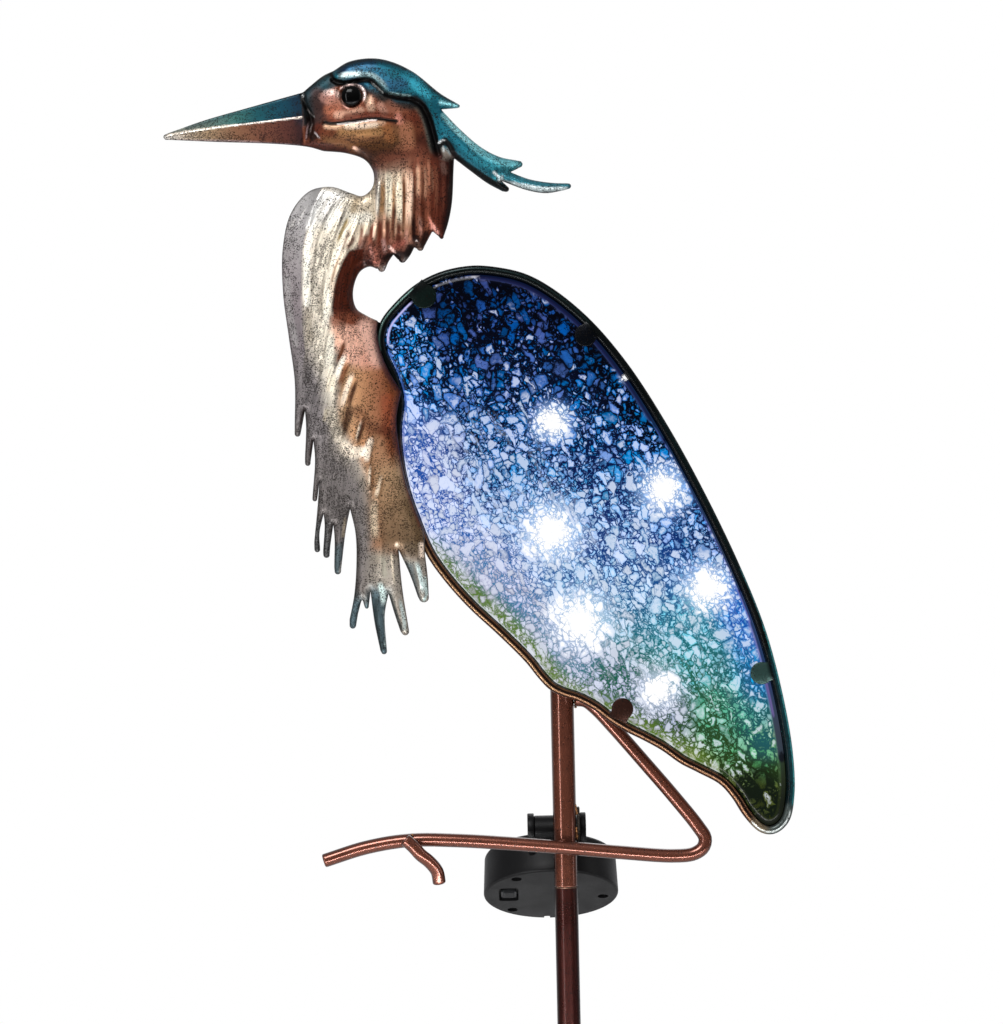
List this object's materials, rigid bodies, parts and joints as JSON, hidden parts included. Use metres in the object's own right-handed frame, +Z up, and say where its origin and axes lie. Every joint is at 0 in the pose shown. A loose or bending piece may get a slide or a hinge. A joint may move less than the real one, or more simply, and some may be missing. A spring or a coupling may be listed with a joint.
{
  "type": "solar heron garden ornament",
  "caption": "Stamped metal heron on a straight leg stake, with a framed crackle-glass wing lit by lamps behind it and a tilting round solar case behind the leg.",
  "frame": {"origin": "centre of the straight leg's flat lower end, where it meets the ground", "axes": "+X from the beak towards the tail, +Y away from the viewer towards the solar case, +Z up along the straight leg"},
  "size_m": [0.3396, 0.1202, 0.7601],
  "materials": {
    "heron_paint": "metallic paint in teal, copper, champagne and grey with fine black speckle, satin",
    "copper_paint": "copper-brown metallic flake paint, semi-gloss",
    "stake_paint": "dark red-brown metallic paint, satin",
    "tray_paint": "dark teal-black metallic paint rubbed to silver and copper near the ends, semi-gloss",
    "crackle_glass": "crackle glass shaded from navy through royal blue and lavender to green and olive, polished rounded edge",
    "lamp": "clear white lamp, glossy",
    "eye_black": "polished black",
    "case_plastic": "charcoal moulded plastic, matte",
    "solar_cell": "dark blue cells under clear resin, glossy",
    "pin_steel": "plain turned steel"
  },
  "bodies": {
    "heron": {"stake": "stake_paint", "leg_tube": "copper_paint", "bent_leg": "copper_paint", "toe": "copper_paint", "heron_plate": "heron_paint", "eye_bead": "eye_black", "wing_tray": "tray_paint", "wing_glass": "crackle_glass", "led_1": "lamp", "led_2": "lamp", "led_3": "lamp", "led_4": "lamp", "led_5": "lamp", "led_6": "lamp", "led_7": "lamp", "hinge_lug": "tray_paint"},
    "solar_unit": {"solar_housing": "case_plastic", "solar_panel": "solar_cell", "hinge_pin": "pin_steel"},
    "switch": {"switch_knob": "case_plastic"}
  },
  "joints": [
    {"name": "solar_tilt", "type": "hinge", "parent": "heron", "child": "solar_unit", "pos_m": [0, 0.0152, 0.3312], "axis": [1, 0, 0], "range_deg": [0, 60]},
    {"name": "switch_slide", "type": "slide", "parent": "solar_unit", "child": "switch", "axis": [0, -0.8942, 0.4478], "range_m": [0, 0.004]}
  ]
}
